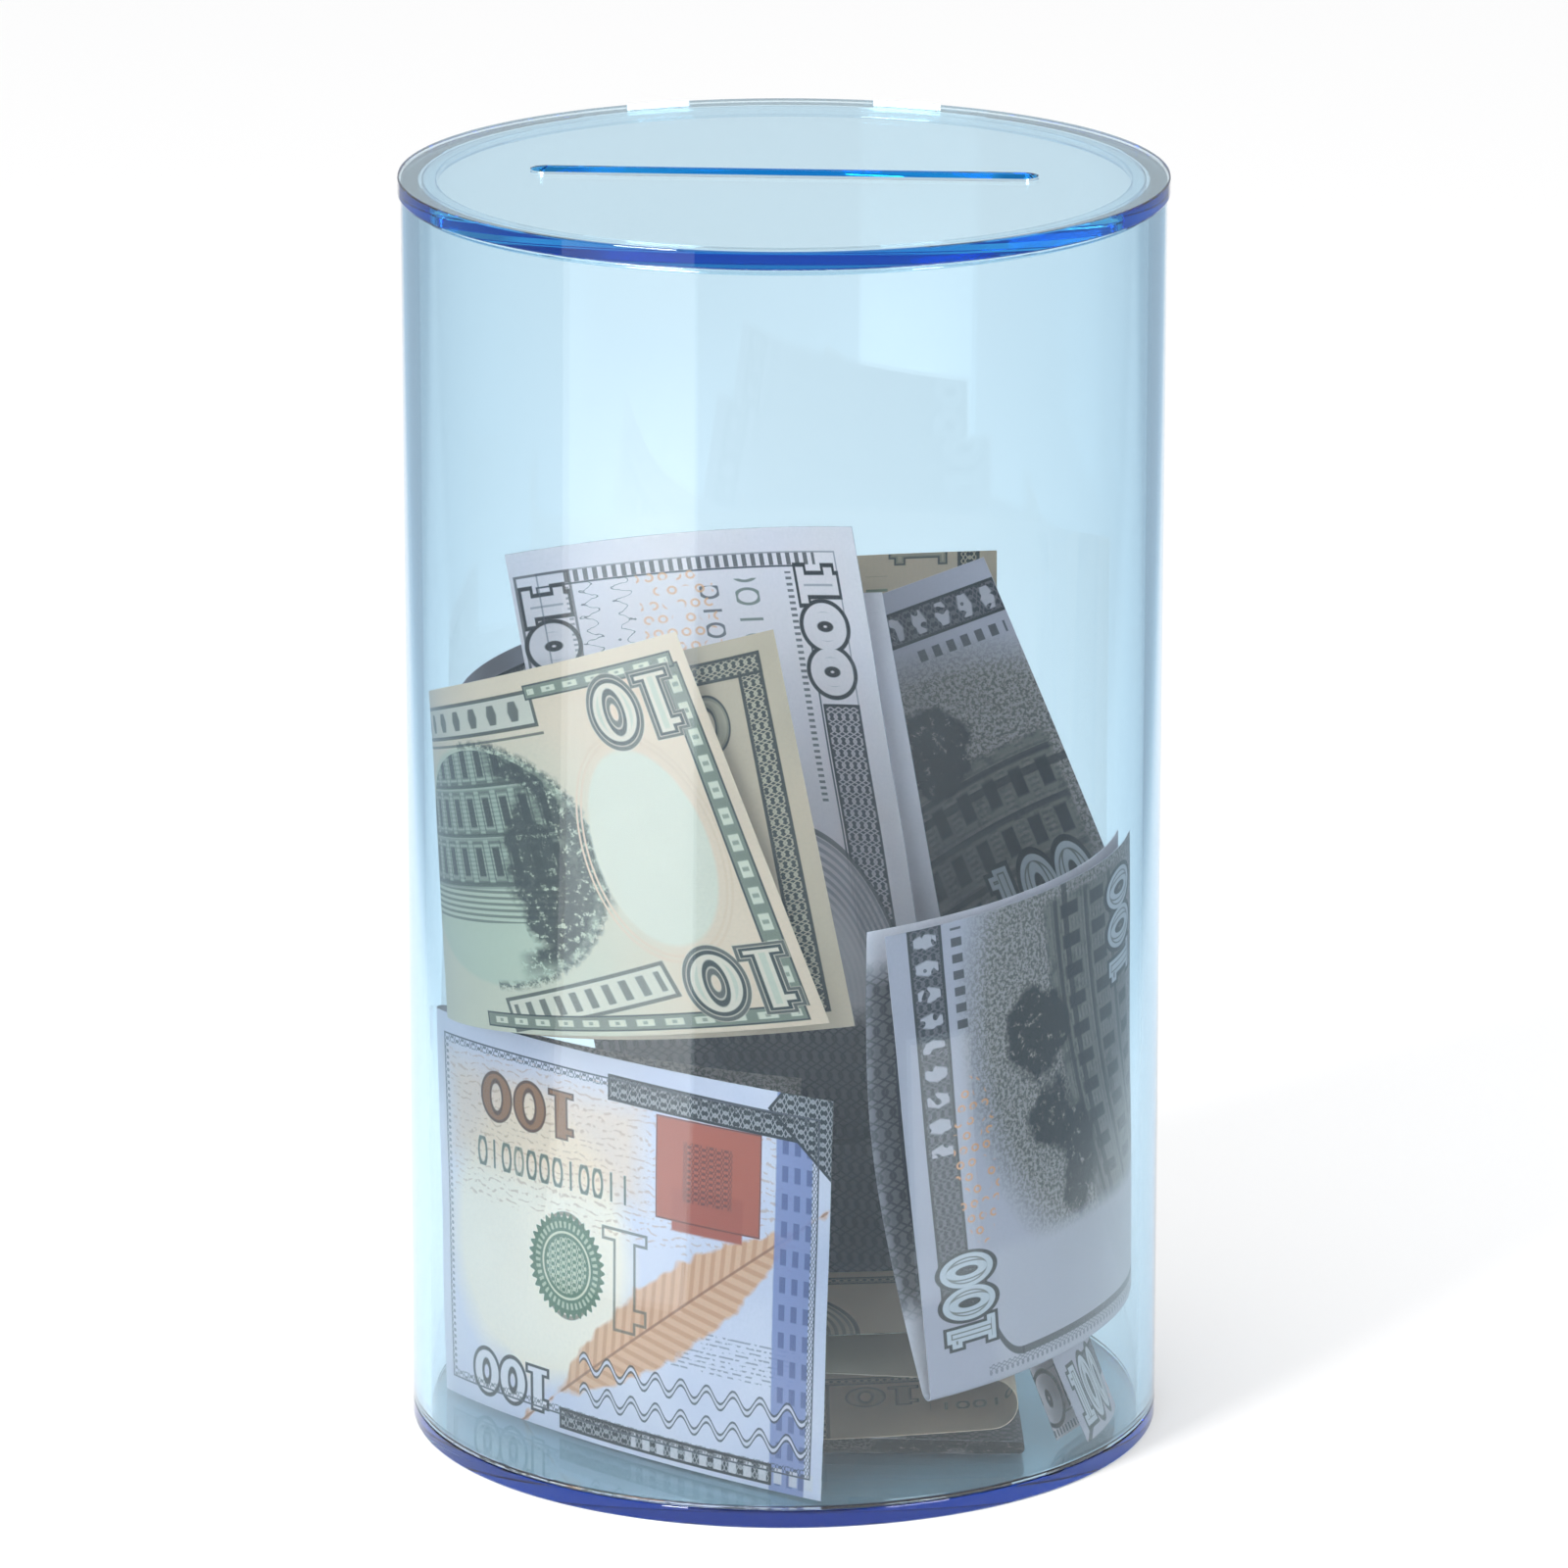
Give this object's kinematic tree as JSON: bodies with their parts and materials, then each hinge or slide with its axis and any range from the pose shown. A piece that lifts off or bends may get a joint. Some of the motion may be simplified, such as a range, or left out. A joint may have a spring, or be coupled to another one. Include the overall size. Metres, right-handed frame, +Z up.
{
  "type": "donation box",
  "caption": "Round clear acrylic donation box with a flat lid, a coin and note slot, a glued base and loose paper notes inside",
  "frame": {"origin": "middle of the underside of the base", "axes": "+Z up along the tube's axis, +X along the slot in the lid, -Y towards the front"},
  "size_m": [0.128, 0.128, 0.215],
  "materials": {
    "tube_acrylic": "clear cast acrylic, faintly blue, polished",
    "plate_acrylic": "clear acrylic sheet with deep blue polished edges",
    "blue_note": "printed paper, white with blue, copper and grey print",
    "buff_note": "printed paper, buff with grey-green print",
    "white_note": "printed paper, white with grey print",
    "grey_note": "printed paper, grey with dark grey print"
  },
  "bodies": {
    "root": {"tube": "tube_acrylic", "base_plate": "plate_acrylic", "note_front_low": "blue_note", "note_front_high": "buff_note", "note_upright": "white_note", "note_behind_upright": "white_note", "note_right_side": "grey_note", "note_back_right": "grey_note", "note_back_upright": "buff_note", "note_right_corner": "grey_note", "note_bottom_roll": "grey_note", "note_bottom_flat": "grey_note", "note_left_wall": "grey_note"},
    "lid": {"lid_plate": "plate_acrylic", "locating_ring": "tube_acrylic"}
  },
  "joints": [
    {"name": "lid_lift", "type": "slide", "parent": "root", "child": "lid", "axis": [0, 0, 1], "range_m": [0, 0.08]}
  ]
}
